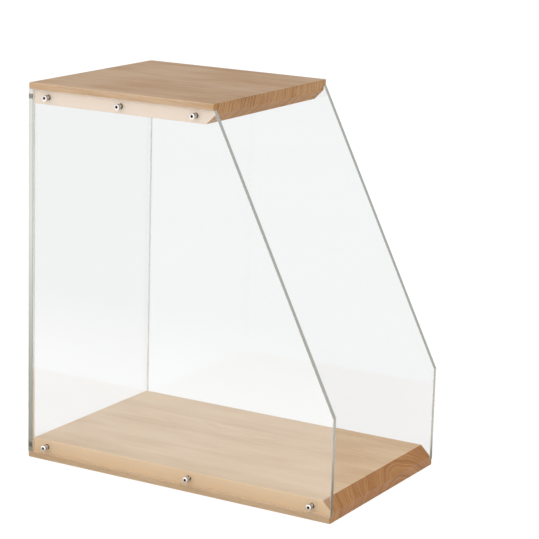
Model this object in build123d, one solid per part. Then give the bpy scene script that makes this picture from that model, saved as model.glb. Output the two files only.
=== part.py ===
from build123d import *
import os

# Countertop display case: two rabbeted wooden boards joined by clear acrylic panels.
# The frame is millimetres with +Z up. The origin is the centre of the base board's underside,
# the open front faces -Y, and the boards are level.

# Overall sizes
case_width = 200.0
case_depth = 325.0
case_height = 355.0
roof_depth = 197.5
kink_height = 95.0

# Boards
board_thickness = 19.0
lip_thickness = 5.5
front_bevel = 9.5
corner_radius = 1.5
edge_ease = 0.5

# Acrylic panels
panel_thickness = 5.0
panel_ease = 0.3

# Hex-socket cap screws
thread_diameter = 3.0
head_diameter = 5.5
head_height = 3.0
head_ease = 0.4
socket_width = 2.5
socket_depth = 1.6
screw_length = 16.0
screw_tip = 0.45

# Washers under the heads, and threaded inserts in the boards' edges
washer_diameter = 5.5
washer_thickness = 0.5
insert_diameter = 5.0
insert_length = 7.0
insert_groove_width = 1.4
insert_groove_depth = 0.35
insert_lead = 0.5

# Places of the screws
side_screw_inset = 20.0
back_screw_inset = 30.0

# Clearances
panel_gap = 0.1
seat_gap = 0.05
thread_gap = 0.05
insert_gap = 0.05
washer_gap = 0.1
hole_gap = 0.2
tip_gap = 2.0

# Sizes that follow
half_width = case_width / 2
back_y = case_depth / 2
front_y = -back_y
roof_front_y = back_y - roof_depth
rabbet_depth = panel_thickness + panel_gap
panel_bottom = lip_thickness + panel_gap
panel_top = case_height - lip_thickness - panel_gap
side_panel_back = back_y - rabbet_depth
base_screw_z = (lip_thickness + board_thickness) / 2
roof_screw_z = case_height - base_screw_z
head_seat = washer_thickness + 2 * seat_gap
reach_in_board = screw_length - head_seat - rabbet_depth

rear_screw_y = back_y - side_screw_inset
roof_front_screw_y = roof_front_y + side_screw_inset
base_front_screw_y = front_y + side_screw_inset
roof_screw_ys = (rear_screw_y, (rear_screw_y + roof_front_screw_y) / 2, roof_front_screw_y)
base_screw_ys = (rear_screw_y, roof_front_screw_y, base_front_screw_y)
back_screw_x = half_width - back_screw_inset
back_screw_xs = (-back_screw_x, back_screw_x)


def side_row(side, ys, z):
    """Places for one row of screws through a side panel; side is -1 on the left and 1 on the right."""
    return [Plane(origin=(side * half_width, y, z), x_dir=(0, 1, 0), z_dir=(side, 0, 0)) for y in ys]


def back_row(z):
    """Places for one row of screws through the back panel."""
    return [Plane(origin=(x, back_y, z), x_dir=(1, 0, 0), z_dir=(0, 1, 0)) for x in back_screw_xs]


rows = {
    "left_top": side_row(-1, roof_screw_ys, roof_screw_z),
    "left_bottom": side_row(-1, base_screw_ys, base_screw_z),
    "right_top": side_row(1, roof_screw_ys, roof_screw_z),
    "right_bottom": side_row(1, base_screw_ys, base_screw_z),
    "back_top": back_row(roof_screw_z),
    "back_bottom": back_row(base_screw_z),
}


def block(x0, x1, y0, y1, z0, z1):
    """A box between two corners."""
    centre = ((x0 + x1) / 2, (y0 + y1) / 2, (z0 + z1) / 2)
    return Pos(*centre) * Box(x1 - x0, y1 - y0, z1 - z0)


def rod(radius, z0, z1):
    """A cylinder along Z between two heights."""
    return Pos(0, 0, z0) * Cylinder(radius, z1 - z0, align=(Align.CENTER, Align.CENTER, Align.MIN))


def board(depth):
    """A board with its lip down, rabbeted for the panels along both sides and the back."""
    board_front = back_y - depth
    lip = block(-half_width, half_width, board_front, back_y, 0, lip_thickness)
    lip = fillet(lip.edges().filter_by(Axis.Z), corner_radius)
    tongue_half = half_width - rabbet_depth
    tongue = block(-tongue_half, tongue_half, board_front, side_panel_back, 0, board_thickness)
    front_edge = tongue.edges().filter_by(Axis.X).group_by(Axis.Z)[-1].sort_by(Axis.Y)[0]
    tongue = chamfer(front_edge, front_bevel)
    whole = lip + tongue
    upper = whole.edges().group_by(Axis.Z)[-1]
    lower = whole.edges().group_by(Axis.Z)[0]
    return fillet(upper + lower, edge_ease)


def insert_holes(places):
    """The stepped holes in a board's edge that hold the inserts and clear the screws' tips."""
    pocket = rod(insert_diameter / 2 + insert_gap, -rabbet_depth - insert_length, -rabbet_depth)
    tip = rod(thread_diameter / 2 + hole_gap, -rabbet_depth - reach_in_board - tip_gap, -rabbet_depth)
    return [place * (pocket + tip) for place in places]


def screw_holes(places):
    """The clearance holes through a panel."""
    hole = rod(thread_diameter / 2 + hole_gap, -rabbet_depth, panel_gap)
    return [place * hole for place in places]


def side_panel(side):
    """A side panel: upright at the back, slanted from the top board's front edge to the kink."""
    outline = Polyline(
        (side_panel_back, panel_bottom),
        (front_y, panel_bottom),
        (front_y, kink_height),
        (roof_front_y, panel_top),
        (side_panel_back, panel_top),
        close=True,
    )
    outer = Plane(origin=(side * half_width, 0, 0), x_dir=(0, 1, 0), z_dir=(1, 0, 0))
    sheet = extrude(outer * make_face(outline), amount=-side * panel_thickness)
    faces = sheet.faces().sort_by(Axis.X)
    return chamfer(faces[0].edges() + faces[-1].edges(), panel_ease)


def back_panel():
    """The back panel, as wide as the boards."""
    sheet = block(-half_width, half_width, back_y - panel_thickness, back_y, panel_bottom, panel_top)
    faces = sheet.faces().sort_by(Axis.Y)
    return chamfer(faces[0].edges() + faces[-1].edges(), panel_ease)


def cap_screw():
    """A hex-socket cap screw along Z, its head outwards, with the panel's outer face at zero."""
    head = rod(head_diameter / 2, head_seat, head_seat + head_height)
    head = fillet(head.edges().group_by(Axis.Z)[-1], head_ease)
    shank = rod(thread_diameter / 2, head_seat - screw_length, head_seat)
    shank = chamfer(shank.edges().group_by(Axis.Z)[0], screw_tip)
    mouth = Plane(origin=(0, 0, head_seat + head_height))
    hexagon = mouth * RegularPolygon(socket_width / 2, 6, major_radius=False)
    return head + shank - extrude(hexagon, amount=-socket_depth)


def washer():
    """A washer between a screw's head and the panel."""
    ring = rod(washer_diameter / 2, seat_gap, seat_gap + washer_thickness)
    return ring - rod(thread_diameter / 2 + washer_gap, 0, head_seat)


def insert():
    """A threaded insert, flush with the board's edge, with a retaining groove round its middle."""
    mouth = -rabbet_depth
    body = rod(insert_diameter / 2, mouth - insert_length, mouth)
    body = chamfer(body.edges().group_by(Axis.Z)[0], insert_lead)
    middle = mouth - insert_length / 2
    groove = rod(insert_diameter, middle - insert_groove_width / 2, middle + insert_groove_width / 2)
    groove -= rod(insert_diameter / 2 - insert_groove_depth, mouth - insert_length, mouth)
    bore = rod(thread_diameter / 2 + thread_gap, mouth - insert_length, mouth)
    return body - groove - bore


def cut(shape, tools):
    """A shape with a list of tools taken from it."""
    for tool in tools:
        shape = shape - tool
    return shape


def copies(shape, places):
    """One separate solid at each place."""
    return Compound(children=[(place * shape).solid() for place in places])


places_in_base = rows["left_bottom"] + rows["right_bottom"] + rows["back_bottom"]
places_in_roof = rows["left_top"] + rows["right_top"] + rows["back_top"]
roof_blank = Pos(0, 0, case_height) * mirror(board(roof_depth), about=Plane.XY)

nodes = {
    "base_board": cut(board(case_depth), insert_holes(places_in_base)),
    "top_board": cut(roof_blank, insert_holes(places_in_roof)),
    "left_side_panel": cut(side_panel(-1), screw_holes(rows["left_top"] + rows["left_bottom"])),
    "right_side_panel": cut(side_panel(1), screw_holes(rows["right_top"] + rows["right_bottom"])),
    "back_panel": cut(back_panel(), screw_holes(rows["back_top"] + rows["back_bottom"])),
}
for row, places in rows.items():
    nodes[row + "_screws"] = copies(cap_screw(), places)
    nodes[row + "_washers"] = copies(washer(), places)
    nodes[row + "_inserts"] = copies(insert(), places)

os.makedirs("parts", exist_ok=True)
for node, shape in nodes.items():
    export_step(shape, f"parts/{node}.step")
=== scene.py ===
"""Countertop display case: finishes, detailed hardware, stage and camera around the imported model.

Lengths are metres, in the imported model's own frame. +Z is up and the open front faces -Y.
"""
import math

import bpy
from mathutils import Matrix, Vector


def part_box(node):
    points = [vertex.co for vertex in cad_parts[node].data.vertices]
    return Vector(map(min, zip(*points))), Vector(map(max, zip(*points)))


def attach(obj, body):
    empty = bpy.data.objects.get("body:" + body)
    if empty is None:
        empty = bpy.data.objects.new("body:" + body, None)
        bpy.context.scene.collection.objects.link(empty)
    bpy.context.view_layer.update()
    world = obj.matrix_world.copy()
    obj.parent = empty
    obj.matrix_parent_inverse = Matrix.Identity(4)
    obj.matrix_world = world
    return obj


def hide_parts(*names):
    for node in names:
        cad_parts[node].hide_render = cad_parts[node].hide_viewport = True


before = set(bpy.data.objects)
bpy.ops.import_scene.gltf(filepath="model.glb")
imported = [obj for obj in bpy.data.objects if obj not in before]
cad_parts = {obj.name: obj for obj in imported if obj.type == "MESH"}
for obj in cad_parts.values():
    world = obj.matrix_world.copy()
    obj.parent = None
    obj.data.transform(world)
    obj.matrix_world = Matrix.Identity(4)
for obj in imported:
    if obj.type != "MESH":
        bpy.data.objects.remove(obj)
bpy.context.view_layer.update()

bl_info = {
    "name": "Countertop Display Case",
    "version": (1, 0, 0),
    "blender": (4, 5, 0),
    "location": "3D Viewport > Sidebar > Display Case",
    "description": "Finishes, hardware and stage for a wood and acrylic countertop display case",
    "category": "Object",
}

MM = 0.001
BASE_LOW, BASE_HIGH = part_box("base_board")
TOP_LOW, TOP_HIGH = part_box("top_board")
CASE_WIDTH = BASE_HIGH.x - BASE_LOW.x
CASE_DEPTH = BASE_HIGH.y - BASE_LOW.y
CASE_HEIGHT = TOP_HIGH.z
MIDDLE = Vector((0, 0, CASE_HEIGHT / 2))
ROWS = ("left_top", "left_bottom", "right_top", "right_bottom", "back_top", "back_bottom")
OUTWARD = {"left": Vector((-1, 0, 0)), "right": Vector((1, 0, 0)), "back": Vector((0, 1, 0))}

# Fasteners, read from the left panel's top row and measured from the panel's outer face.
SCREW_LOW, SCREW_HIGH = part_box("left_top_screws")
# Height of the screws above the case's middle at the top, and below it at the bottom.
SCREW_LINE = (SCREW_LOW.z + SCREW_HIGH.z) / 2 - CASE_HEIGHT / 2
HEAD_RADIUS = (SCREW_HIGH.z - SCREW_LOW.z) / 2
HEAD_TOP = -CASE_WIDTH / 2 - SCREW_LOW.x
TIP_DEPTH = SCREW_HIGH.x + CASE_WIDTH / 2
WASHER_LOW, WASHER_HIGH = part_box("left_top_washers")
WASHER_SEAT = -CASE_WIDTH / 2 - WASHER_HIGH.x
WASHER_TOP = -CASE_WIDTH / 2 - WASHER_LOW.x
INSERT_LOW, INSERT_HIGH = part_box("left_top_inserts")
INSERT_MOUTH = INSERT_LOW.x + CASE_WIDTH / 2
INSERT_END = INSERT_HIGH.x + CASE_WIDTH / 2
INSERT_RADIUS = (INSERT_HIGH.z - INSERT_LOW.z) / 2
SHANK_RADIUS = 1.5 * MM
HEAD_CLEARANCE = 0.05 * MM
HEAD_UNDERSIDE = WASHER_TOP + HEAD_CLEARANCE
# Sides of the round parts, and how far a cutting tool runs past what it cuts.
ROUND_SIDES = 48
KNURLS = 40
OVERRUN = 1 * MM

# Wood: where each board's log had its pith, how far its rings wander, and the tints that darken it.
PITH = {"base": (0.028, 0, -0.052), "top": (-0.25, 0, CASE_HEIGHT + 0.06)}
RING_WANDER = 14 * MM
CUT_RING_TINT = (0.70, 0.57, 0.43)
MOTTLE_TINT = (0.84, 0.74, 0.63)
FIBRE_TINT = (0.90, 0.84, 0.77)
PORE_TINT = (0.62, 0.50, 0.40)
# A board's outer side, darkened as painted shade, lies outside the lip line, and its step under a
# panel lies inside the step line.
LIP_LINE = CASE_WIDTH / 2 - 2 * MM
STEP_LINE = CASE_WIDTH / 2 - 3 * MM

# Acrylic: painted shade in the panels' edges beside the screws, standing for a screw shank's shadow
# gathered in the edge. It fades from its core to its end, above and below a screw, and along a
# side panel it comes in between free and full.
SCREW_SHADE = (0.10, 0.075, 0.055)
SHADE_STRENGTH = 0.75
SHADE_CORE, SHADE_END = 1.4 * MM, 3.2 * MM
SHADE_FREE, SHADE_FULL = 10 * MM, 12 * MM
# The height up to which a cut edge has its low tint in full, and the roughness of a cut edge.
LOW_START = 0.03
EDGE_ROUGHNESS = 0.18
SMEAR_ROUGHNESS = 0.004

# Metal and nylon: how many times finer scratches are than smears, the tone of a stain and of
# nylon's cloudy parts, and the painted shade inside a socket.
FINER = 30
STAIN_TONE = 0.82
CLOUD_TONE = 0.9
SOCKET_SHADE = 0.10

# Stage: the floor's size and its brightness seen straight, the lamp, and the direction of the
# part of the sky that panels mirror brightest.
FLOOR_RADIUS = 9
FLOOR_TO_CAMERA = 1.14
KEY_PLACE = (-1.75, 0.15, 0.75)
KEY_SIZE = 1.1
BRIGHT_SKY = (-0.66, 0.20, 0.72)
SKY_DIM, SKY_BRIGHT = 0.35, 1.3
# Distances out from the case between which the floor's mirrored brightness rises and falls,
# its brightness close in, and the paint's two greys.
RISE = (0.02, 0.09)
FALL = (0.22, 0.60)
CLOSE_IN = 0.9
PAINT = (0.80, 0.84)


def display(red, green, blue):
    """Scene-linear colour from display values between 0 and 255."""
    def linear(value):
        share = value / 255
        return share / 12.92 if share <= 0.04045 else ((share + 0.055) / 1.055) ** 2.4
    return (linear(red), linear(green), linear(blue))


# ---------------------------------------------------------------- settings

def colour_setting(name, description, default):
    """A colour property in scene-linear values."""
    return bpy.props.FloatVectorProperty(
        name=name, description=description, default=default, size=3, min=0, max=1,
        subtype="COLOR")


def length_setting(name, description, default):
    """A length property in metres."""
    return bpy.props.FloatProperty(
        name=name, description=description, default=default, min=0, precision=5,
        unit="LENGTH", subtype="DISTANCE")


def share_setting(name, description, default, top=1.0):
    """A plain number from zero to a top value."""
    return bpy.props.FloatProperty(
        name=name, description=description, default=default, min=0, max=top)


def angle_setting(name, description, default):
    """An angle property in radians."""
    return bpy.props.FloatProperty(
        name=name, description=description, default=default, unit="ROTATION", subtype="ANGLE")


class CASE_PG_boards(bpy.types.PropertyGroup):
    """Sizes and colours of the wooden boards' finish."""
    # Both boards are one wood. The base's colours are set paler than the top's as painted light,
    # for the light on the base's top inside the case; the top's are set darker as painted shade.
    base_pale: colour_setting(
        "Base earlywood", "Paler wood of the base board", display(233, 203, 166))
    base_dark: colour_setting(
        "Base latewood", "Darker ring lines of the base board", display(205, 167, 127))
    top_pale: colour_setting(
        "Top earlywood", "Paler wood of the top board", display(208, 178, 146))
    top_dark: colour_setting(
        "Top latewood", "Darker ring lines of the top board", display(166, 132, 99))
    # Painted highlight: the rounded arrises along the grain are paler, as if catching the light.
    arris_highlight: colour_setting(
        "Arrises", "Worn, rounded edges along the grain", display(248, 218, 178))
    base_end_tint: colour_setting(
        "Base end grain", "Multiplies the colour of the base's cut ends", (0.73, 0.51, 0.31))
    top_end_tint: colour_setting(
        "Top end grain", "Multiplies the colour of the top's cut ends", (1.0, 0.83, 0.57))
    # The steps under the panels: the top's near-white is painted light, the brightness seen through
    # the near panel; the base's is close to its own wood.
    base_covered: colour_setting(
        "Base step", "Wood of the base board's steps, under the panels", display(232, 194, 150))
    top_covered: colour_setting(
        "Top step", "Barely oiled wood of the top board's steps", display(252, 231, 213))
    ring_width: length_setting(
        "Ring width", "Distance between two growth rings", 2.6 * MM)
    base_mottling: share_setting(
        "Base mottling", "Strength of the base board's broad patches", 0.60)
    top_mottling: share_setting(
        "Top mottling", "Strength of the top board's broad patches", 1.0)
    # Painted shade: a lip tone below one darkens a board's outer sides, keeping the base's sides
    # darker than its paler, painted-light top.
    base_lip_tone: share_setting(
        "Base lip tone", "Multiplies the colour of the base board's outer sides", 0.72)
    top_lip_tone: share_setting(
        "Top lip tone", "Multiplies the colour of the top board's outer sides", 1.0)
    base_roughness: share_setting(
        "Base roughness", "Roughness of the base board's oiled surface", 0.40)
    top_roughness: share_setting(
        "Top roughness", "Roughness of the top board's oiled surface", 0.48)


class CASE_PG_panels(bpy.types.PropertyGroup):
    """Colours of the clear acrylic."""
    side_tint: colour_setting(
        "Side tint", "Colour seen straight through a side panel", (0.962, 0.970, 0.970))
    side_edge_tint: colour_setting(
        "Side edge tint", "Light that gathers in the side panels' cut edges", (0.66, 0.69, 0.62))
    side_low_tint: colour_setting(
        "Side low tint", "The same, low down beside the base board", (0.68, 0.57, 0.41))
    side_low_reach: length_setting(
        "Side low reach", "Height where the side panels' low tint ends", 0.12)
    front_tint: colour_setting(
        "Front edge tint", "Darkens the upright front edges", (0.36, 0.34, 0.24))
    seated_tint: colour_setting(
        "Seated edge tint", "Light along an edge that sits on wood", (1.0, 0.84, 0.64))
    back_tint: colour_setting(
        "Back tint", "Colour seen straight through the back panel", (0.935, 0.935, 0.932))
    back_edge_tint: colour_setting(
        "Back edge tint", "Light in the back panel's cut edges", (1.0, 1.0, 0.94))
    back_low_tint: colour_setting(
        "Back low tint", "The same, low down beside the base board", (0.34, 0.33, 0.25))
    back_low_reach: length_setting(
        "Back low reach", "Height where the back panel's low tint ends", 0.24)
    edge_glow: share_setting(
        "Edge glow", "Share of a cut edge that scatters light like frosted sheet", 0.72)
    shade: colour_setting(
        "Shade", "Share of lamp light that each face lets through", (0.97, 0.98, 0.975))
    refraction: share_setting(
        "Refraction", "Index of refraction of acrylic", 1.49, 3)


class CASE_PG_hardware(bpy.types.PropertyGroup):
    """Sizes and colours of the screws, washers and inserts."""
    steel: colour_setting(
        "Stainless steel", "Colour of the screws", (0.60, 0.57, 0.54))
    # Painted shade, partly: the inserts' brass is set far darker than brass, for the shade in the
    # holes behind the screw heads.
    brass: colour_setting(
        "Brass", "Colour of the threaded inserts", (0.15, 0.10, 0.06))
    nylon: colour_setting(
        "Nylon", "Colour of the washers", (0.80, 0.80, 0.76))
    thread_pitch: length_setting(
        "Thread pitch", "Distance between two turns of the thread", 0.5 * MM)
    thread_depth: length_setting(
        "Thread depth", "Depth of the thread's groove", 0.30 * MM)
    knurl_depth: length_setting(
        "Knurl depth", "Depth of the grooves round a screw's head", 0.10 * MM)
    socket_width: length_setting(
        "Socket width", "Hex key that fits the screw", 2.5 * MM)
    socket_depth: length_setting(
        "Socket depth", "Depth of the hex socket", 1.6 * MM)


class CASE_PG_stage(bpy.types.PropertyGroup):
    """Camera and light."""
    azimuth: angle_setting(
        "Azimuth", "Camera's turn round the case from its front", math.radians(-59.9))
    elevation: angle_setting(
        "Elevation", "Camera's height as an angle", math.radians(13.23))
    roll: angle_setting(
        "Roll", "Camera's turn about its own line of sight", math.radians(1.616))
    distance: length_setting(
        "Distance", "From the middle of the case to the camera", 1.9531)
    slide_right: length_setting(
        "Slide right", "Camera's sideways step", 0.0321)
    slide_up: length_setting(
        "Slide up", "Camera's upward step", 0.00754)
    lens: bpy.props.FloatProperty(
        name="Lens", description="Focal length in millimetres on a 36 mm sensor",
        default=140.85, min=10)
    ambient: share_setting(
        "Ambient", "Soft light from all round", 0.80, 5)
    key_power: bpy.props.FloatProperty(
        name="Key power", description="Power of the soft lamp on the left",
        default=7.5, min=0, unit="POWER")
    seen_through: share_setting(
        "Backdrop through acrylic", "Brightness of the backdrop behind a panel", 0.97, 2)
    mirrored_near: share_setting(
        "Mirrored near", "Brightness that panels mirror from the floor round the case", 3.3, 20)
    mirrored_far: share_setting(
        "Mirrored far", "Brightness that panels mirror from the floor further out", 1.6, 20)


PROPERTY_GROUPS = {
    "case_boards": CASE_PG_boards,
    "case_panels": CASE_PG_panels,
    "case_hardware": CASE_PG_hardware,
    "case_stage": CASE_PG_stage,
}


# ---------------------------------------------------------------- shader helpers

def fill(tree, node, inputs):
    """Links a node's inputs from sockets, or sets them to values."""
    for name, value in inputs.items():
        if isinstance(value, bpy.types.NodeSocket):
            tree.links.new(value, node.inputs[name])
        else:
            node.inputs[name].default_value = value


def add_node(tree, kind, inputs=None, **settings):
    """A new node with its settings made and its inputs filled."""
    node = tree.nodes.new(kind)
    for name, value in settings.items():
        setattr(node, name, value)
    fill(tree, node, inputs or {})
    return node


def maths(tree, operation, first, second=0.0, third=0.0, clamp=False):
    """The result of a Math node, held between zero and one if it is clamped."""
    inputs = {0: first, 1: second, 2: third}
    return add_node(
        tree, "ShaderNodeMath", inputs, operation=operation, use_clamp=clamp).outputs[0]


def product(tree, first, second):
    """Two values multiplied."""
    return maths(tree, "MULTIPLY", first, second)


def difference(tree, first, second):
    """The first value less the second."""
    return maths(tree, "SUBTRACT", first, second)


def absolute(tree, value):
    """A value without its sign."""
    return maths(tree, "ABSOLUTE", value)


def split(tree, vector):
    """The X, Y and Z parts of a vector."""
    return add_node(tree, "ShaderNodeSeparateXYZ", {"Vector": vector}).outputs


def stretched(tree, position, factors):
    """A position scaled by a factor along each axis; a small factor draws a texture out."""
    inputs = {0: position, 1: factors}
    return add_node(tree, "ShaderNodeVectorMath", inputs, operation="MULTIPLY").outputs[0]


def blended(tree, factor, first, second, mode="MIX"):
    """Two colours mixed by a factor."""
    node = add_node(tree, "ShaderNodeMix", {"Factor": factor}, data_type="RGBA", blend_type=mode)
    for socket, value in ((node.inputs[6], first), (node.inputs[7], second)):
        if isinstance(value, bpy.types.NodeSocket):
            tree.links.new(value, socket)
        else:
            socket.default_value = (*value, 1)
    return node.outputs[2]


def noise(tree, position, scale, detail=2.0, roughness=0.5):
    """The value of a Noise texture."""
    inputs = {"Vector": position, "Scale": scale, "Detail": detail, "Roughness": roughness}
    return add_node(tree, "ShaderNodeTexNoise", inputs).outputs[0]


def remapped(tree, value, low, high, to_low=0.0, to_high=1.0, smooth=False):
    """A value moved from one range to another, held at the ends."""
    inputs = {
        "Value": value, "From Min": low, "From Max": high, "To Min": to_low, "To Max": to_high}
    kind = "SMOOTHSTEP" if smooth else "LINEAR"
    return add_node(tree, "ShaderNodeMapRange", inputs, interpolation_type=kind).outputs[0]


def new_group(name, inputs, outputs):
    """A shader node group with float or vector sockets: its tree, input node and output node."""
    tree = bpy.data.node_groups.new(name, "ShaderNodeTree")
    kinds = {"value": "NodeSocketFloat", "vector": "NodeSocketVector"}
    for label, kind in inputs.items():
        tree.interface.new_socket(label, in_out="INPUT", socket_type=kinds[kind])
    for label, kind in outputs.items():
        tree.interface.new_socket(label, in_out="OUTPUT", socket_type=kinds[kind])
    return tree, tree.nodes.new("NodeGroupInput"), tree.nodes.new("NodeGroupOutput")


def placed_group(tree, group, inputs):
    """A node group placed in a material."""
    node = tree.nodes.new("ShaderNodeGroup")
    node.node_tree = group
    fill(tree, node, inputs)
    return node.outputs


def new_material(name):
    """A material with an output node and nothing else."""
    material = bpy.data.materials.new(name)
    material.use_nodes = True
    material.node_tree.nodes.clear()
    return material, material.node_tree, material.node_tree.nodes.new("ShaderNodeOutputMaterial")


# ---------------------------------------------------------------- shared effects

def timber_figure():
    """Node group: the rings, fibres, pores and patches of a log that lies along Y.

    They depend on the place alone, so they run on from one face of a board to the next.
    """
    if "Timber figure" in bpy.data.node_groups:
        return bpy.data.node_groups["Timber figure"]
    tree, given, result = new_group(
        "Timber figure",
        {"Position": "vector", "Ring Width": "value", "Wander": "value"},
        {"Rings": "value", "Fibres": "value", "Pores": "value", "Mottle": "value"})
    position = given.outputs["Position"]
    # The distance from the pith, which leans a little and wavers along the log.
    waver = difference(tree, noise(tree, stretched(tree, position, (1, 0.10, 1)), scale=22), 0.5)
    parts = split(tree, position)
    across = maths(tree, "MULTIPLY_ADD", parts["Y"], 0.035, parts["X"])
    height = maths(tree, "MULTIPLY_ADD", parts["Y"], -0.02, parts["Z"])
    squares = maths(tree, "MULTIPLY_ADD", across, across, product(tree, height, height))
    root = maths(tree, "SQRT", squares)
    radius = maths(tree, "MULTIPLY_ADD", waver, given.outputs["Wander"], root)
    # Each season shifts by its own amount, then darkens slowly and ends at once.
    seasons = maths(tree, "DIVIDE", radius, given.outputs["Ring Width"])
    uneven = add_node(
        tree, "ShaderNodeTexNoise", {"W": product(tree, seasons, 0.31)}, noise_dimensions="1D")
    phase = maths(tree, "FRACT", maths(tree, "MULTIPLY_ADD", uneven.outputs[0], 5.0, seasons))
    rising = remapped(tree, phase, 0.40, 0.92, smooth=True)
    closing = remapped(tree, phase, 0.93, 1.0, 1.0, 0.0, smooth=True)
    fibres = noise(
        tree, stretched(tree, position, (1, 0.022, 1)), scale=520, detail=3, roughness=0.62)
    dashes = noise(tree, stretched(tree, position, (1, 0.06, 1)), scale=1500, detail=1)
    streaks = noise(tree, stretched(tree, position, (1, 0.035, 1)), scale=130)
    patches = noise(tree, stretched(tree, position, (1, 0.38, 1)), scale=30, detail=4)
    fill(tree, result, {
        "Rings": product(tree, rising, closing),
        "Fibres": fibres,
        "Pores": remapped(tree, dashes, 0.64, 0.74),
        "Mottle": maths(tree, "MULTIPLY_ADD", streaks, 0.28, product(tree, patches, 0.72))})
    return tree


def handling_marks():
    """Node group: faint smears and fine scratches, as a roughness and as a height for a bump."""
    if "Handling marks" in bpy.data.node_groups:
        return bpy.data.node_groups["Handling marks"]
    tree, given, result = new_group(
        "Handling marks",
        {"Position": "vector", "Scale": "value", "Low": "value", "High": "value"},
        {"Roughness": "value", "Height": "value"})
    position, scale, low, high = (
        given.outputs[name] for name in ("Position", "Scale", "Low", "High"))
    smears = noise(tree, position, scale, detail=4, roughness=0.6)
    lines = stretched(tree, position, (1.0, 0.35, 0.12))
    scratches = noise(tree, lines, product(tree, scale, FINER))
    marks = maths(tree, "MULTIPLY_ADD", scratches, 0.35, product(tree, smears, 0.65))
    level = remapped(tree, marks, 0.38, 0.66)
    rough = maths(tree, "MULTIPLY_ADD", level, difference(tree, high, low), low)
    fill(tree, result, {"Roughness": rough, "Height": scratches})
    return tree


# ---------------------------------------------------------------- materials

def timber_colour(tree, settings, board, figure, end_grain):
    """The wood's colour, its tones partly painted light: rings, patches, fibres and pores, all
    darker across the grain.
    """
    pale, dark, end_tint, mottling = (
        getattr(settings, f"{board}_{part}") for part in ("pale", "dark", "end_tint", "mottling"))
    rings = figure["Rings"]
    ring_share = product(tree, rings, remapped(tree, end_grain, 0, 1, 0.30, 0.80))
    colour = blended(tree, ring_share, pale, dark)
    layers = (
        (product(tree, product(tree, rings, end_grain), 0.9), CUT_RING_TINT),
        (product(tree, remapped(tree, figure["Mottle"], 0.40, 0.60), mottling), MOTTLE_TINT),
        (product(tree, remapped(tree, figure["Fibres"], 0.32, 0.68), 0.50), FIBRE_TINT),
        (product(tree, figure["Pores"], 0.45), PORE_TINT),
        (end_grain, end_tint))
    for strength, tint in layers:
        colour = blended(tree, strength, colour, tint, "MULTIPLY")
    return colour


def finished_colour(tree, settings, board, colour, place, facing):
    """A wood colour: painted shade on outer sides, own colours under the panels, painted arris
    highlights.
    """
    lip_tone = getattr(settings, f"{board}_lip_tone")
    step_tone_and_light = getattr(settings, f"{board}_covered")
    stepped = remapped(tree, absolute(tree, place["X"]), LIP_LINE, STEP_LINE)
    upright = remapped(tree, absolute(tree, facing["X"]), 0.7, 0.9)
    # Painted shade: the outer sides outside the lip line are darkened by the lip tone.
    shaded_side = product(tree, upright, difference(tree, 1.0, stepped))
    colour = blended(tree, shaded_side, colour, [lip_tone] * 3, "MULTIPLY")
    # The steps take their own colour; on the top board it is painted light.
    on_step = product(tree, product(tree, upright, stepped), 0.85)
    colour = blended(tree, on_step, colour, step_tone_and_light)
    # Painted highlight: the rounded arrises are blended towards a pale colour.
    slope = maths(tree, "MINIMUM", absolute(tree, facing["X"]), absolute(tree, facing["Z"]))
    highlight_share = remapped(tree, slope, 0.25, 0.45, 0.0, 0.6)
    return blended(tree, highlight_share, colour, settings.arris_highlight)


def wood_material(board, settings):
    """Oiled pale hardwood for one board, with its grain along Y."""
    material, tree, output = new_material(f"Oiled wood {board}")
    coordinates = tree.nodes.new("ShaderNodeTexCoord").outputs
    from_pith = add_node(tree, "ShaderNodeMapping", {
        "Vector": coordinates["Object"], "Location": [-value for value in PITH[board]]})
    figure = placed_group(tree, timber_figure(), {
        "Position": from_pith.outputs[0], "Ring Width": settings.ring_width,
        "Wander": RING_WANDER})
    facing = split(tree, coordinates["Normal"])
    end_grain = remapped(tree, absolute(tree, facing["Y"]), 0.35, 0.65, smooth=True)
    colour = timber_colour(tree, settings, board, figure, end_grain)
    place = split(tree, coordinates["Object"])
    colour = finished_colour(tree, settings, board, colour, place, facing)
    relief = maths(tree, "MULTIPLY_ADD", figure["Pores"], -0.6, figure["Fibres"])
    bump = add_node(
        tree, "ShaderNodeBump", {"Height": relief, "Distance": 0.06 * MM, "Strength": 0.5})
    roughness = getattr(settings, f"{board}_roughness")
    polish = remapped(
        tree, figure["Fibres"], 0.3, 0.7, roughness - 0.05, roughness + 0.09)
    shader = add_node(tree, "ShaderNodeBsdfPrincipled", {
        "Base Color": colour, "Roughness": polish, "Normal": bump.outputs[0],
        "Specular IOR Level": 0.24})
    tree.links.new(shader.outputs[0], output.inputs["Surface"])
    return material


def screw_shade(tree, panel, place):
    """A mask of the painted shade in a panel's edges beside the screws, where a shank's shadow
    gathers.
    """
    from_middle = absolute(tree, difference(tree, place["Z"], CASE_HEIGHT / 2))
    from_screw = absolute(tree, difference(tree, from_middle, SCREW_LINE))
    # This mask is painted shade, not marks in the acrylic.
    marks = remapped(tree, from_screw, SHADE_CORE, SHADE_END, SHADE_STRENGTH, 0.0, smooth=True)
    if panel == "back":
        return marks
    # A side panel shows none near its front and back edges. Its front line is the base's low down
    # and the top's high up; there are no screws between.
    front = remapped(
        tree, place["Z"], CASE_HEIGHT * 0.4, CASE_HEIGHT * 0.6, BASE_LOW.y, TOP_LOW.y)
    behind_front = difference(tree, place["Y"], front)
    before_back = difference(tree, BASE_HIGH.y, place["Y"])
    from_edge = maths(tree, "MINIMUM", behind_front, before_back)
    return product(tree, marks, remapped(tree, from_edge, SHADE_FREE, SHADE_FULL))


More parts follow.
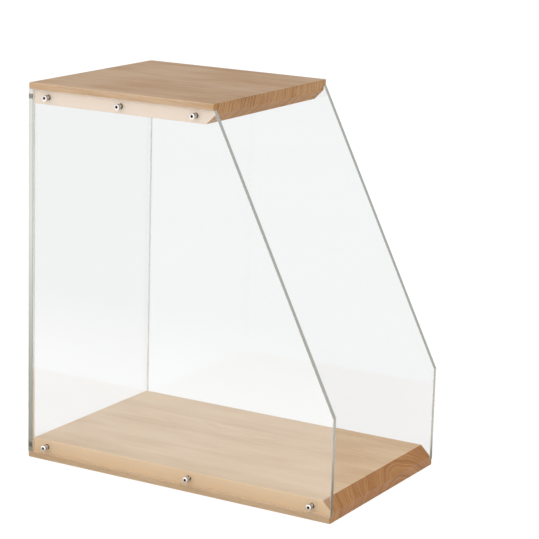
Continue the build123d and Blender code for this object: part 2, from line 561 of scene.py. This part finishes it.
def cut_edge_colour(tree, settings, panel, position, normal):
    """The colour of a panel's cut edges: the light they gather, and what they stand beside."""
    face_tint, edge_tint, low_tint, low_reach = (
        getattr(settings, f"{panel}_{part}")
        for part in ("tint", "edge_tint", "low_tint", "low_reach"))
    saw_lines = noise(tree, stretched(tree, position, (1, 1, 0.3)), scale=2600, detail=1)
    sawn = remapped(tree, saw_lines, 0.3, 0.7, 0, 0.3)
    colour = blended(tree, sawn, edge_tint, face_tint)
    place = split(tree, position)
    low_down = remapped(tree, place["Z"], LOW_START, low_reach, 1.0, 0.0, smooth=True)
    colour = blended(tree, low_down, colour, low_tint)
    if panel == "side":
        upright = remapped(tree, absolute(tree, normal["Y"]), 0.93, 0.98)
        in_front = remapped(tree, place["Y"], 1 * MM, -1 * MM)
        front_edge = product(tree, upright, in_front)
        colour = blended(tree, front_edge, colour, settings.front_tint, "MULTIPLY")
    # Painted shade: the screws' shadows gathered in the cut edges, beside each screw.
    colour = blended(tree, screw_shade(tree, panel, place), colour, SCREW_SHADE)
    seated = remapped(tree, absolute(tree, normal["Z"]), 0.45, 0.60)
    return blended(tree, seated, colour, settings.seated_tint)


def acrylic_material(panel, face_axis, settings):
    """Clear cast acrylic: polished faces across one axis, and cut edges that gather light."""
    material, tree, output = new_material(f"{panel.capitalize()} acrylic")
    coordinates = tree.nodes.new("ShaderNodeTexCoord").outputs
    position = coordinates["Object"]
    normal = split(tree, coordinates["Normal"])
    smears = remapped(
        tree, noise(tree, position, scale=14, detail=3), 0.4, 0.7, 0.0, SMEAR_ROUGHNESS)
    polished = add_node(tree, "ShaderNodeBsdfPrincipled", {
        "Base Color": (*getattr(settings, f"{panel}_tint"), 1), "Roughness": smears,
        "IOR": settings.refraction, "Transmission Weight": 1.0})
    frosted = add_node(tree, "ShaderNodeBsdfPrincipled", {
        "Base Color": cut_edge_colour(tree, settings, panel, position, normal),
        "Roughness": EDGE_ROUGHNESS, "IOR": settings.refraction})
    edge = remapped(tree, absolute(tree, normal[face_axis]), 0.9, 0.5, smooth=True)
    # Level edges sit on wood, so they stay clear but for their corners.
    glow = remapped(tree, absolute(tree, normal["Z"]), 0.90, 0.98, settings.edge_glow, 0.0)
    acrylic = add_node(tree, "ShaderNodeMixShader", {
        0: product(tree, edge, glow), 1: polished.outputs[0], 2: frosted.outputs[0]})
    # Lamp light passes straight through, a little weaker.
    shade = add_node(tree, "ShaderNodeBsdfTransparent", {"Color": (*settings.shade, 1)})
    rays = tree.nodes.new("ShaderNodeLightPath").outputs
    lit = maths(tree, "MAXIMUM", rays["Is Shadow Ray"], rays["Is Diffuse Ray"])
    surface = add_node(tree, "ShaderNodeMixShader", {
        0: lit, 1: acrylic.outputs[0], 2: shade.outputs[0]})
    tree.links.new(surface.outputs[0], output.inputs["Surface"])
    return material


def metal_material(name, colour, low, high):
    """Turned metal with fine tool marks and a little variation in polish."""
    material, tree, output = new_material(name)
    position = tree.nodes.new("ShaderNodeTexCoord").outputs["Object"]
    marks = placed_group(tree, handling_marks(), {
        "Position": position, "Scale": 260.0, "Low": low, "High": high})
    stain = remapped(tree, noise(tree, position, scale=700, detail=3), 0.35, 0.75, 0.0, 0.5)
    tone = blended(tree, stain, colour, [value * STAIN_TONE for value in colour])
    bump = add_node(tree, "ShaderNodeBump", {
        "Height": marks["Height"], "Distance": 0.01 * MM, "Strength": 0.4})
    shader = add_node(tree, "ShaderNodeBsdfPrincipled", {
        "Base Color": tone, "Metallic": 1.0, "Roughness": marks["Roughness"],
        "Normal": bump.outputs[0]})
    tree.links.new(shader.outputs[0], output.inputs["Surface"])
    return material


def nylon_material(name, colour):
    """Natural nylon: milky, a little see-through."""
    material, tree, output = new_material(name)
    position = tree.nodes.new("ShaderNodeTexCoord").outputs["Object"]
    marks = placed_group(tree, handling_marks(), {
        "Position": position, "Scale": 220.0, "Low": 0.32, "High": 0.48})
    cloud = remapped(tree, noise(tree, position, scale=900), 0.3, 0.7)
    tone = blended(tree, cloud, colour, [value * CLOUD_TONE for value in colour])
    shader = add_node(tree, "ShaderNodeBsdfPrincipled", {
        "Base Color": tone, "Roughness": marks["Roughness"],
        "Transmission Weight": 0.5, "IOR": 1.53})
    tree.links.new(shader.outputs[0], output.inputs["Surface"])
    return material


def coat(piece, material):
    """Gives a piece one material."""
    piece.data.materials.clear()
    piece.data.materials.append(material)


# ---------------------------------------------------------------- modelling helpers

def deselect():
    """Leaves edit mode with nothing selected."""
    if bpy.context.object and bpy.context.object.mode == "EDIT":
        bpy.ops.object.mode_set(mode="OBJECT")
    bpy.ops.object.select_all(action="DESELECT")


def start_cylinder(name, sides, radius, low, high):
    """A capped cylinder along Z between two heights, ready to be shaped."""
    deselect()
    bpy.ops.mesh.primitive_cylinder_add(
        vertices=sides, radius=radius, depth=high - low, location=(0, 0, (low + high) / 2))
    piece = bpy.context.object
    piece.name = name
    bpy.ops.object.transform_apply(location=True, rotation=True, scale=True)
    return piece


def start_pick(piece, kind):
    """Makes a piece active with no face or edge selected, ready to mark its own."""
    bpy.context.view_layer.objects.active = piece
    if piece.mode != "EDIT":
        bpy.ops.object.mode_set(mode="EDIT")
    bpy.ops.mesh.select_mode(type=kind)
    bpy.ops.mesh.select_all(action="DESELECT")
    bpy.ops.object.mode_set(mode="OBJECT")


def pick_faces(piece, wanted):
    """Edit mode, with only the faces selected whose centre and normal the test wants."""
    start_pick(piece, "FACE")
    for face in piece.data.polygons:
        face.select = wanted(face.center, face.normal)
    bpy.ops.object.mode_set(mode="EDIT")


def pick_edges(piece, wanted):
    """Edit mode, with only the edges selected whose two ends the test wants."""
    start_pick(piece, "EDGE")
    points = piece.data.vertices
    for edge in piece.data.edges:
        edge.select = wanted(points[edge.vertices[0]].co, points[edge.vertices[1]].co)
    bpy.ops.object.mode_set(mode="EDIT")


def faces_down(centre, normal):
    """Test for a face that looks down."""
    return normal.z < -0.9


def extrude_down(step, scale=1.0):
    """Extrudes the selected face down, then scales its new end about the Z axis."""
    bpy.ops.mesh.extrude_region_move(TRANSFORM_OT_translate={"value": (0, 0, -step)})
    if scale != 1.0:
        bpy.ops.transform.resize(value=(scale, scale, 1), center_override=(0, 0, 0))


def cut_away(piece, tool):
    """Takes a tool's shape out of a piece and removes the tool."""
    deselect()
    bpy.context.view_layer.objects.active = piece
    cutter = piece.modifiers.new("Cut", "BOOLEAN")
    cutter.operation = "DIFFERENCE"
    cutter.solver = "EXACT"
    cutter.object = tool
    bpy.ops.object.modifier_apply(modifier=cutter.name)
    bpy.data.objects.remove(tool)


def smoothed(piece, angle=math.radians(35)):
    """Smooth shading broken at sharp edges, with the normals pointing outwards."""
    deselect()
    piece.select_set(True)
    bpy.context.view_layer.objects.active = piece
    bpy.ops.object.mode_set(mode="EDIT")
    bpy.ops.mesh.select_all(action="SELECT")
    bpy.ops.mesh.remove_doubles(threshold=0.001 * MM)
    bpy.ops.mesh.normals_make_consistent(inside=False)
    bpy.ops.object.mode_set(mode="OBJECT")
    bpy.ops.object.shade_smooth_by_angle(angle=angle)


def row_joined(master, name, places):
    """One object, with its own mesh, made of a copy of the master at each place's matrix."""
    copies = []
    for place in places:
        copy = bpy.data.objects.new(name, master.data.copy())
        bpy.context.scene.collection.objects.link(copy)
        copy.data.transform(place)
        copies.append(copy)
    deselect()
    for copy in copies:
        copy.select_set(True)
    bpy.context.view_layer.objects.active = copies[0]
    bpy.ops.object.join()
    joined = bpy.context.object
    joined.name = name
    return joined


def row_places(row):
    """Matrices that put a fastener modelled along Z, its seat at zero, at each place of a row."""
    low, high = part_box(row + "_screws")
    side = row.split("_")[0]
    outward = OUTWARD[side]
    height = (low.z + high.z) / 2
    if side == "back":
        ends = (low.x + HEAD_RADIUS, high.x - HEAD_RADIUS)
        points = [Vector((x, BASE_HIGH.y, height)) for x in ends]
    else:
        # The bottom row's middle screw stands under the top row's front one.
        top_low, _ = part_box(side + "_top_screws")
        front, back = low.y + HEAD_RADIUS, high.y - HEAD_RADIUS
        middle = (low.y + high.y) / 2 if row.endswith("top") else top_low.y + HEAD_RADIUS
        face = outward.x * CASE_WIDTH / 2
        points = [Vector((face, y, height)) for y in (front, middle, back)]
    turn = outward.to_track_quat("Z", "Y").to_matrix().to_4x4()
    return [Matrix.Translation(point) @ turn for point in points]


# ---------------------------------------------------------------- pieces

def head_with_shank(settings):
    """A cap screw's body: a knurled head with a rounded rim, and a threaded shank with a tip."""
    rim_radius, plain_length, tip = 0.4 * MM, 1.8 * MM, 0.45 * MM
    pitch = settings.thread_pitch
    screw = start_cylinder("cap_screw", ROUND_SIDES, HEAD_RADIUS, HEAD_UNDERSIDE, HEAD_TOP)
    rim = HEAD_TOP - 0.01 * MM
    pick_edges(screw, lambda a, b: a.z > rim and b.z > rim)
    bpy.ops.mesh.bevel(offset=rim_radius, segments=4, affect="EDGES")

    def side_face(centre, normal):
        return abs(normal.z) < 0.1 and centre.xy.length > HEAD_RADIUS * 0.95

    pick_faces(screw, side_face)
    bpy.ops.mesh.inset(thickness=0.06 * MM, use_individual=True)
    bpy.ops.mesh.inset(thickness=0.05 * MM, depth=-settings.knurl_depth, use_individual=True)
    pick_faces(screw, faces_down)
    bpy.ops.mesh.inset(thickness=HEAD_RADIUS - SHANK_RADIUS)
    length = HEAD_UNDERSIDE + TIP_DEPTH
    turns = int((length - plain_length) / pitch)
    extrude_down(length - tip - turns * pitch)
    root = 1 - settings.thread_depth / SHANK_RADIUS
    for _ in range(turns):
        extrude_down(pitch * 0.45, root)
        extrude_down(pitch * 0.10)
        extrude_down(pitch * 0.45, 1 / root)
    extrude_down(tip, 0.7)
    bpy.ops.object.mode_set(mode="OBJECT")
    return screw


def make_cap_screw(settings):
    """A hex-socket cap screw along Z with the panel's outer face at zero.

    The socket's inside has the second material, painted shade.
    """
    screw = head_with_shank(settings)
    corner = settings.socket_width / math.sqrt(3)
    floor = HEAD_TOP - settings.socket_depth
    socket = start_cylinder("socket_tool", 6, corner, floor, HEAD_TOP + OVERRUN)
    pick_faces(socket, faces_down)
    bpy.ops.mesh.inset(thickness=0.25 * MM)
    bpy.ops.transform.translate(value=(0, 0, -0.35 * MM))
    cut_away(screw, socket)
    smoothed(screw)
    reach = settings.socket_width * 0.6
    bottom, mouth = floor - 1 * MM, HEAD_TOP - 0.02 * MM
    for face in screw.data.polygons:
        inside = face.center.xy.length < reach and bottom < face.center.z < mouth
        face.material_index = 1 if inside else 0
    return screw


def make_washer():
    """A flat nylon washer with softly rounded edges."""
    level = 0.01 * MM
    ring = start_cylinder("washer", ROUND_SIDES, HEAD_RADIUS, WASHER_SEAT, WASHER_TOP)
    hole = start_cylinder(
        "hole_tool", ROUND_SIDES, SHANK_RADIUS + 0.1 * MM,
        WASHER_SEAT - OVERRUN, WASHER_TOP + OVERRUN)
    cut_away(ring, hole)

    def round_the_rim(a, b):
        return abs(a.z - b.z) < level and abs(a.xy.length - b.xy.length) < level

    pick_edges(ring, round_the_rim)
    bpy.ops.mesh.bevel(offset=0.12 * MM, segments=3, affect="EDGES")
    smoothed(ring, math.radians(50))
    return ring


def make_insert():
    """A brass insert: two knurled bands either side of a groove, with a plain bore."""
    groove_depth, groove_width, chamfer = 0.35 * MM, 1.4 * MM, 0.5 * MM
    band = (INSERT_END - INSERT_MOUTH - groove_width) / 2
    body = start_cylinder("insert", KNURLS, INSERT_RADIUS, -INSERT_MOUTH - band, -INSERT_MOUTH)
    pick_faces(body, faces_down)
    inner = 1 - groove_depth / INSERT_RADIUS
    bpy.ops.mesh.inset(thickness=groove_depth)
    extrude_down(groove_width)
    extrude_down(0, 1 / inner)
    extrude_down(band - chamfer)
    extrude_down(chamfer, 1 - chamfer / INSERT_RADIUS)

    def band_face(centre, normal):
        return abs(normal.z) < 0.05 and centre.xy.length > INSERT_RADIUS * 0.97

    pick_faces(body, band_face)
    bpy.ops.mesh.inset(thickness=0.09 * MM, depth=-0.14 * MM, use_individual=True)
    bore = start_cylinder(
        "bore_tool", 32, SHANK_RADIUS + 0.05 * MM,
        -INSERT_END - OVERRUN, -INSERT_MOUTH + OVERRUN)
    cut_away(body, bore)
    smoothed(body)
    return body


def hardware_row(master, row, kind):
    """Puts copies of a fastener along a row, in place of the plain CAD ones."""
    piece = row_joined(master, f"{row}_{kind}_detail", row_places(row))
    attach(piece, "root")
    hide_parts(f"{row}_{kind}")


def hardware_rows(master, kind, materials):
    """All six rows of one kind of fastener; the master is removed after."""
    for material in materials:
        master.data.materials.append(material)
    for row in ROWS:
        hardware_row(master, row, kind)
    bpy.data.objects.remove(master)


# ---------------------------------------------------------------- stage

def mirrored_share(tree, rays):
    """One for a ray that was mirrored and never went through acrylic, else zero."""
    return maths(
        tree, "SUBTRACT", rays["Is Glossy Ray"], rays["Is Transmission Ray"], clamp=True)


def backdrop_strength(tree, rays, straight, mirrored, through):
    """A strength for each way a ray can come: straight from the camera, mirrored, or through."""
    strength = product(tree, rays["Is Camera Ray"], straight)
    strength = maths(tree, "MULTIPLY_ADD", mirrored_share(tree, rays), mirrored, strength)
    return maths(tree, "MULTIPLY_ADD", rays["Is Transmission Ray"], through, strength)


def make_floor(settings):
    """A wide floor that looks white, keeps a soft shadow, and is bright where panels mirror it."""
    deselect()
    bpy.ops.mesh.primitive_circle_add(
        vertices=96, radius=FLOOR_RADIUS, fill_type="NGON", location=(0, 0, 0))
    floor = bpy.context.object
    floor.name = "floor"
    material, tree, output = new_material("Pale floor")
    coordinates = tree.nodes.new("ShaderNodeTexCoord").outputs["Object"]
    parts = split(tree, coordinates)
    beside = difference(tree, absolute(tree, parts["X"]), CASE_WIDTH / 2)
    before = difference(tree, absolute(tree, parts["Y"]), CASE_DEPTH / 2)
    outside = maths(tree, "MAXIMUM", beside, before)
    near, far = settings.mirrored_near, settings.mirrored_far
    rise = remapped(tree, outside, *RISE, CLOSE_IN, near, smooth=True)
    fall = remapped(tree, outside, *FALL, 0.0, far - near, smooth=True)
    rays = tree.nodes.new("ShaderNodeLightPath").outputs
    strength = backdrop_strength(
        tree, rays, FLOOR_TO_CAMERA, maths(tree, "ADD", rise, fall), settings.seen_through + 0.04)
    glow = add_node(tree, "ShaderNodeEmission", {"Color": (1, 1, 1, 1), "Strength": strength})
    grain = remapped(tree, noise(tree, coordinates, scale=3), 0.3, 0.7, *PAINT)
    paint = add_node(tree, "ShaderNodeBsdfDiffuse", {"Color": grain})
    seen = maths(tree, "MAXIMUM", rays["Is Camera Ray"], rays["Is Transmission Ray"])
    share = maths(tree, "MULTIPLY_ADD", seen, 0.80, mirrored_share(tree, rays), clamp=True)
    surface = add_node(tree, "ShaderNodeMixShader", {
        0: share, 1: paint.outputs[0], 2: glow.outputs[0]})
    tree.links.new(surface.outputs[0], output.inputs["Surface"])
    coat(floor, material)


def make_world(settings):
    """Soft light from all round, white to the camera, brightest high on the left when mirrored."""
    world = bpy.data.worlds.new("Studio")
    bpy.context.scene.world = world
    world.use_nodes = True
    tree = world.node_tree
    tree.nodes.clear()
    output = tree.nodes.new("ShaderNodeOutputWorld")
    rays = tree.nodes.new("ShaderNodeLightPath").outputs
    direction = tree.nodes.new("ShaderNodeTexCoord").outputs["Generated"]
    toward = add_node(
        tree, "ShaderNodeVectorMath", {0: direction, 1: BRIGHT_SKY}, operation="DOT_PRODUCT")
    mirrored = remapped(
        tree, toward.outputs["Value"], -0.5, 0.8, SKY_DIM, SKY_BRIGHT, smooth=True)
    seen = backdrop_strength(tree, rays, 1.0, mirrored, settings.seen_through)
    known = maths(tree, "MAXIMUM", rays["Is Camera Ray"], rays["Is Glossy Ray"])
    known = maths(tree, "MAXIMUM", known, rays["Is Transmission Ray"])
    rest = product(tree, difference(tree, 1.0, known), settings.ambient)
    background = add_node(tree, "ShaderNodeBackground", {
        "Color": (1, 1, 1, 1), "Strength": maths(tree, "ADD", seen, rest)})
    tree.links.new(background.outputs[0], output.inputs["Surface"])


def make_lamp(name, place, size, power):
    """A square soft lamp aimed at the middle of the case."""
    lamp = bpy.data.lights.new(name, "AREA")
    lamp.shape = "SQUARE"
    lamp.size = size
    lamp.energy = power
    holder = bpy.data.objects.new(name, lamp)
    bpy.context.scene.collection.objects.link(holder)
    holder.location = place
    holder.rotation_euler = (MIDDLE - Vector(place)).to_track_quat("-Z", "Y").to_euler()


def make_camera(settings):
    """The camera, turned about the middle of the case."""
    azimuth, elevation, roll = settings.azimuth, settings.elevation, settings.roll
    back = Vector((
        math.sin(azimuth) * math.cos(elevation),
        -math.cos(azimuth) * math.cos(elevation),
        math.sin(elevation)))
    level = Vector((0, 0, 1)).cross(back).normalized()
    steep = back.cross(level)
    right = math.cos(roll) * level + math.sin(roll) * steep
    up = math.cos(roll) * steep - math.sin(roll) * level
    camera = bpy.data.cameras.new("Camera")
    camera.sensor_width = 36
    camera.lens = settings.lens
    camera.clip_start = 0.05
    camera.clip_end = 60
    holder = bpy.data.objects.new("Camera", camera)
    bpy.context.scene.collection.objects.link(holder)
    place = MIDDLE + back * settings.distance
    place += right * settings.slide_right
    place += up * settings.slide_up
    turn = Matrix((right, up, back)).transposed().to_4x4()
    holder.matrix_world = Matrix.Translation(place) @ turn
    bpy.context.scene.camera = holder


# ---------------------------------------------------------------- operators

class CASE_OT_boards(bpy.types.Operator):
    """Give the base and top boards their oiled wood."""
    bl_idname = "case.boards"
    bl_label = "Finish Boards"

    def execute(self, context):
        settings = context.scene.case_boards
        for board in ("base", "top"):
            coat(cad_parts[f"{board}_board"], wood_material(board, settings))
        return {"FINISHED"}


class CASE_OT_panels(bpy.types.Operator):
    """Give the side and back panels their clear acrylic."""
    bl_idname = "case.panels"
    bl_label = "Finish Panels"

    def execute(self, context):
        settings = context.scene.case_panels
        side = acrylic_material("side", "X", settings)
        back = acrylic_material("back", "Y", settings)
        coat(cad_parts["left_side_panel"], side)
        coat(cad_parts["right_side_panel"], side)
        coat(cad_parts["back_panel"], back)
        return {"FINISHED"}


class CASE_OT_screws(bpy.types.Operator):
    """Model the knurled cap screws and set them along every row."""
    bl_idname = "case.screws"
    bl_label = "Model Screws"

    def execute(self, context):
        settings = context.scene.case_hardware
        steel = metal_material("Stainless steel", settings.steel, 0.16, 0.30)
        # Painted shade: the socket's inside is the steel darkened, for the shade in the recess.
        dark = [value * SOCKET_SHADE for value in settings.steel]
        shadowed = metal_material("Socket steel in painted shade", dark, 0.50, 0.65)
        hardware_rows(
            make_cap_screw(settings), "screws", (steel, shadowed))
        return {"FINISHED"}


class CASE_OT_washers(bpy.types.Operator):
    """Model the nylon washers and set them under every screw head."""
    bl_idname = "case.washers"
    bl_label = "Model Washers"

    def execute(self, context):
        nylon = nylon_material("Natural nylon", context.scene.case_hardware.nylon)
        hardware_rows(make_washer(), "washers", (nylon,))
        return {"FINISHED"}


class CASE_OT_inserts(bpy.types.Operator):
    """Model the brass inserts and set them in the boards' edges."""
    bl_idname = "case.inserts"
    bl_label = "Model Inserts"

    def execute(self, context):
        settings = context.scene.case_hardware
        # Painted shade, partly: the brass is dark enough to stand for the shade in the holes.
        brass = metal_material("Turned brass", settings.brass, 0.24, 0.40)
        hardware_rows(make_insert(), "inserts", (brass,))
        return {"FINISHED"}


class CASE_OT_stage(bpy.types.Operator):
    """Build the floor, the soft light and the camera."""
    bl_idname = "case.stage"
    bl_label = "Build Stage"

    def execute(self, context):
        settings = context.scene.case_stage
        context.scene.view_settings.view_transform = "Standard"
        make_floor(settings)
        make_world(settings)
        make_lamp("key_left", KEY_PLACE, KEY_SIZE, settings.key_power)
        make_camera(settings)
        return {"FINISHED"}


OPERATORS = (
    CASE_OT_boards, CASE_OT_panels, CASE_OT_screws, CASE_OT_washers, CASE_OT_inserts,
    CASE_OT_stage)


class CASE_PT_sidebar(bpy.types.Panel):
    """Lists the case's operators."""
    bl_label = "Display Case"
    bl_idname = "CASE_PT_sidebar"
    bl_space_type = "VIEW_3D"
    bl_region_type = "UI"
    bl_category = "Display Case"

    def draw(self, context):
        for operator in OPERATORS:
            self.layout.operator(operator.bl_idname)


def register():
    """Makes the settings, the operators and the sidebar known."""
    for name, group in PROPERTY_GROUPS.items():
        bpy.utils.register_class(group)
        setattr(bpy.types.Scene, name, bpy.props.PointerProperty(type=group))
    for operator in OPERATORS:
        bpy.utils.register_class(operator)
    bpy.utils.register_class(CASE_PT_sidebar)


def unregister():
    """Takes them away again, in the opposite order."""
    bpy.utils.unregister_class(CASE_PT_sidebar)
    for operator in reversed(OPERATORS):
        bpy.utils.unregister_class(operator)
    for name, group in PROPERTY_GROUPS.items():
        delattr(bpy.types.Scene, name)
        bpy.utils.unregister_class(group)


def main():
    """Builds everything in order."""
    register()
    bpy.ops.case.boards()
    bpy.ops.case.panels()
    bpy.ops.case.screws()
    bpy.ops.case.washers()
    bpy.ops.case.inserts()
    bpy.ops.case.stage()


if __name__ == "__main__":
    main()
